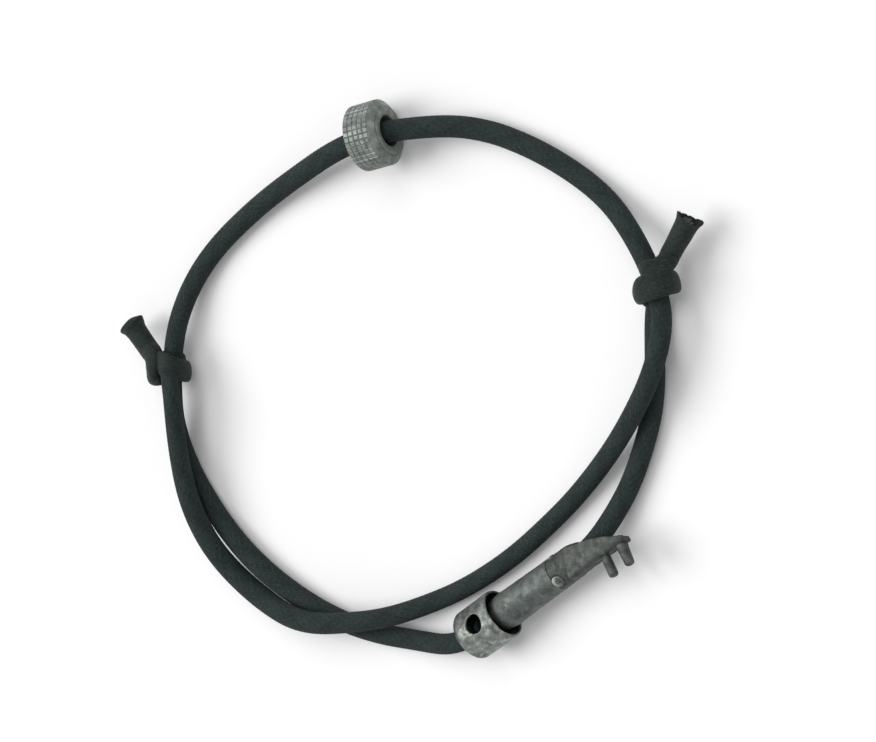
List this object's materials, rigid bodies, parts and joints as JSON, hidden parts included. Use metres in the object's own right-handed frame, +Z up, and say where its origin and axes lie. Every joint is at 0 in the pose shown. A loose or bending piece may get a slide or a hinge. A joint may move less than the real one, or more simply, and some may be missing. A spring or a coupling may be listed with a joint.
{
  "type": "wrist cord loop with swivel fitting",
  "caption": "Adjustable wrist loop of round braided cord with sliding knots, a knurled ring and a swivelling metal fitting threaded on it.",
  "frame": {"origin": "middle of the whole outline, on the table that the loop lies on", "axes": "+Z up from the table, +X along the longer side of the loop's outline, from the melted tail to the frayed tail, +Y towards the knurled ring"},
  "size_m": [0.095, 0.0813, 0.0095],
  "materials": {
    "cord": "dark blue-green grey round braid, matt",
    "cord_core": "dull brownish rubber strands",
    "cast_metal": "grey-green blasted cast metal, satin",
    "worn_metal": "lighter worn cast metal with bright specks",
    "dark_metal": "dark oiled steel"
  },
  "bodies": {
    "cord_loop": {"cord_top_arc": "cord", "cord_outer_strand": "cord", "cord_threaded_strand": "cord"},
    "left_knot_body": {"left_knot": "cord", "left_tail": "cord"},
    "right_knot_body": {"right_knot": "cord", "right_tail": "cord", "right_tail_core": "cord_core"},
    "bush_body": {"ring_bush": "worn_metal"},
    "ring_body": {"knurled_ring": "cast_metal"},
    "eyelet_body": {"cord_eyelet": "dark_metal"},
    "head_body": {"fitting_head": "worn_metal", "retaining_ring": "dark_metal"},
    "barrel_body": {"swivel_collar": "dark_metal", "barrel_tube": "cast_metal", "rear_casting": "cast_metal", "seam_rivet_upper": "worn_metal", "seam_rivet_left": "worn_metal", "inner_pin": "cast_metal", "outer_pin": "cast_metal"}
  },
  "joints": [
    {"name": "left_knot_slide", "type": "hinge", "parent": "cord_loop", "child": "left_knot_body", "pos_m": [0.01213, -0.00603, 0.0034], "axis": [0, 0, 1], "range_deg": [-2.5, 2.5], "deforming": ["cord_outer_strand"]},
    {"name": "right_knot_slide", "type": "hinge", "parent": "cord_loop", "child": "right_knot_body", "pos_m": [0.02014, 0.01029, 0.0046], "axis": [0, 0, 1], "range_deg": [-5, 5], "deforming": ["cord_threaded_strand"]},
    {"name": "ring_travel", "type": "hinge", "parent": "cord_loop", "child": "bush_body", "pos_m": [0.00654, 0.00275, 0.00475], "axis": [0, 0, 1], "range_deg": [-8, 8]},
    {"name": "ring_spin", "type": "hinge", "parent": "bush_body", "child": "ring_body", "pos_m": [-0.0026, 0.0357, 0.00475], "axis": [0.9655, 0.2605, 0], "continuous": true},
    {"name": "fitting_slide", "type": "slide", "parent": "cord_loop", "child": "eyelet_body", "axis": [0.8028, 0.5962, 0], "range_m": [-0.0004, 0.0025]},
    {"name": "head_spin", "type": "hinge", "parent": "eyelet_body", "child": "head_body", "pos_m": [0.00817, -0.03715, 0.0038], "axis": [0.8028, 0.5962, 0], "continuous": true},
    {"name": "barrel_swivel", "type": "hinge", "parent": "head_body", "child": "barrel_body", "pos_m": [0.00978, -0.03596, 0.0038], "axis": [0.8028, 0.5962, 0], "range_deg": [-40, 60]}
  ]
}
